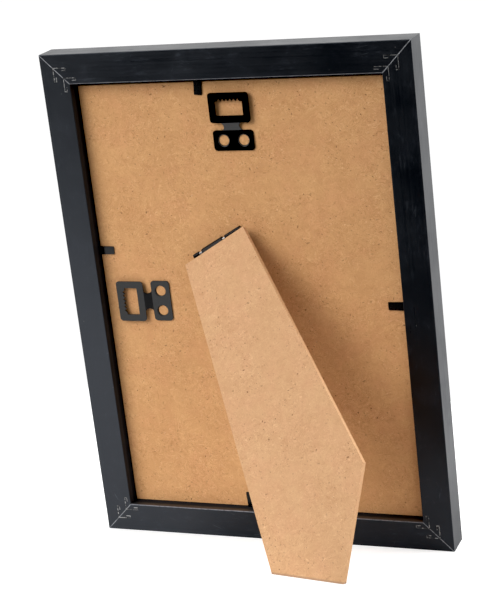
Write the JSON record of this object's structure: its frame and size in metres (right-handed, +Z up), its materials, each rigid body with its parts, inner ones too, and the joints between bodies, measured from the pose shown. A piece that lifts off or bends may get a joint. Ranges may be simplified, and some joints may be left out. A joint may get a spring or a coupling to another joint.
{
  "type": "easel back photo frame",
  "caption": "Black photo frame standing in portrait on a slanted fibreboard easel strut, with toothed wall hangers and bending tabs that hold the glass, print and back panel in the rebate.",
  "frame": {"origin": "on the floor under the middle of the standing frame: half way along its width, and half way between its front lower edge and the point of the strut's foot", "axes": "+Z up, +Y towards the back where the strut stands, +X to the right seen from the front; the picture faces -Y and leans back"},
  "size_m": [0.254, 0.1314, 0.3342],
  "materials": {
    "rail_black": "satin black foil over a wood moulding",
    "fibreboard": "bare tan fibreboard with fine dark and light fibres",
    "black_steel": "black lacquered sheet steel",
    "bright_steel": "bright steel",
    "clear_glass": "clear float glass",
    "print_paper": "plain off-white paper"
  },
  "bodies": {
    "frame": {"top_rail": "rail_black", "left_rail": "rail_black", "bottom_rail": "rail_black", "right_rail": "rail_black", "top_tab_tang": "black_steel", "left_tab_tang": "black_steel", "bottom_tab_tang": "black_steel", "right_tab_tang": "black_steel", "top_left_outer_v_nail": "bright_steel", "top_left_inner_v_nail": "bright_steel", "bottom_left_outer_v_nail": "bright_steel", "bottom_left_inner_v_nail": "bright_steel", "bottom_right_outer_v_nail": "bright_steel", "bottom_right_inner_v_nail": "bright_steel", "top_right_outer_v_nail": "bright_steel", "top_right_inner_v_nail": "bright_steel", "glass_pane": "clear_glass", "print_sheet": "print_paper", "back_panel": "fibreboard", "portrait_hanger": "black_steel", "landscape_hanger": "black_steel", "hinge_panel_leaf": "black_steel", "hinge_pin": "bright_steel"},
    "strut": {"easel_strut": "fibreboard", "hinge_strut_leaf": "black_steel"},
    "top_tab": {"top_tab_blade": "black_steel"},
    "left_tab": {"left_tab_blade": "black_steel"},
    "bottom_tab": {"bottom_tab_blade": "black_steel"},
    "right_tab": {"right_tab_blade": "black_steel"}
  },
  "joints": [
    {"name": "strut_hinge", "type": "hinge", "parent": "frame", "child": "strut", "pos_m": [0.0196, 0.00131, 0.20511], "axis": [-0.8704, 0.1274, 0.4756], "range_deg": [0, 25.6]},
    {"name": "top_tab_bend", "type": "hinge", "parent": "frame", "child": "top_tab", "pos_m": [0.01939, 0.02847, 0.31109], "axis": [0.9962, 0.0226, 0.0842], "range_deg": [0, 90]},
    {"name": "left_tab_bend", "type": "hinge", "parent": "frame", "child": "left_tab", "pos_m": [0.106, -0.0013, 0.20001], "axis": [0, -0.2588, -0.9659], "range_deg": [0, 90]},
    {"name": "bottom_tab_bend", "type": "hinge", "parent": "frame", "child": "bottom_tab", "pos_m": [0.01766, -0.04892, 0.02228], "axis": [-0.9981, 0.0158, 0.059], "range_deg": [0, 90]},
    {"name": "right_tab_bend", "type": "hinge", "parent": "frame", "child": "right_tab", "pos_m": [-0.106, -0.01085, 0.16437], "axis": [0, 0.2588, 0.9659], "range_deg": [0, 90]}
  ]
}
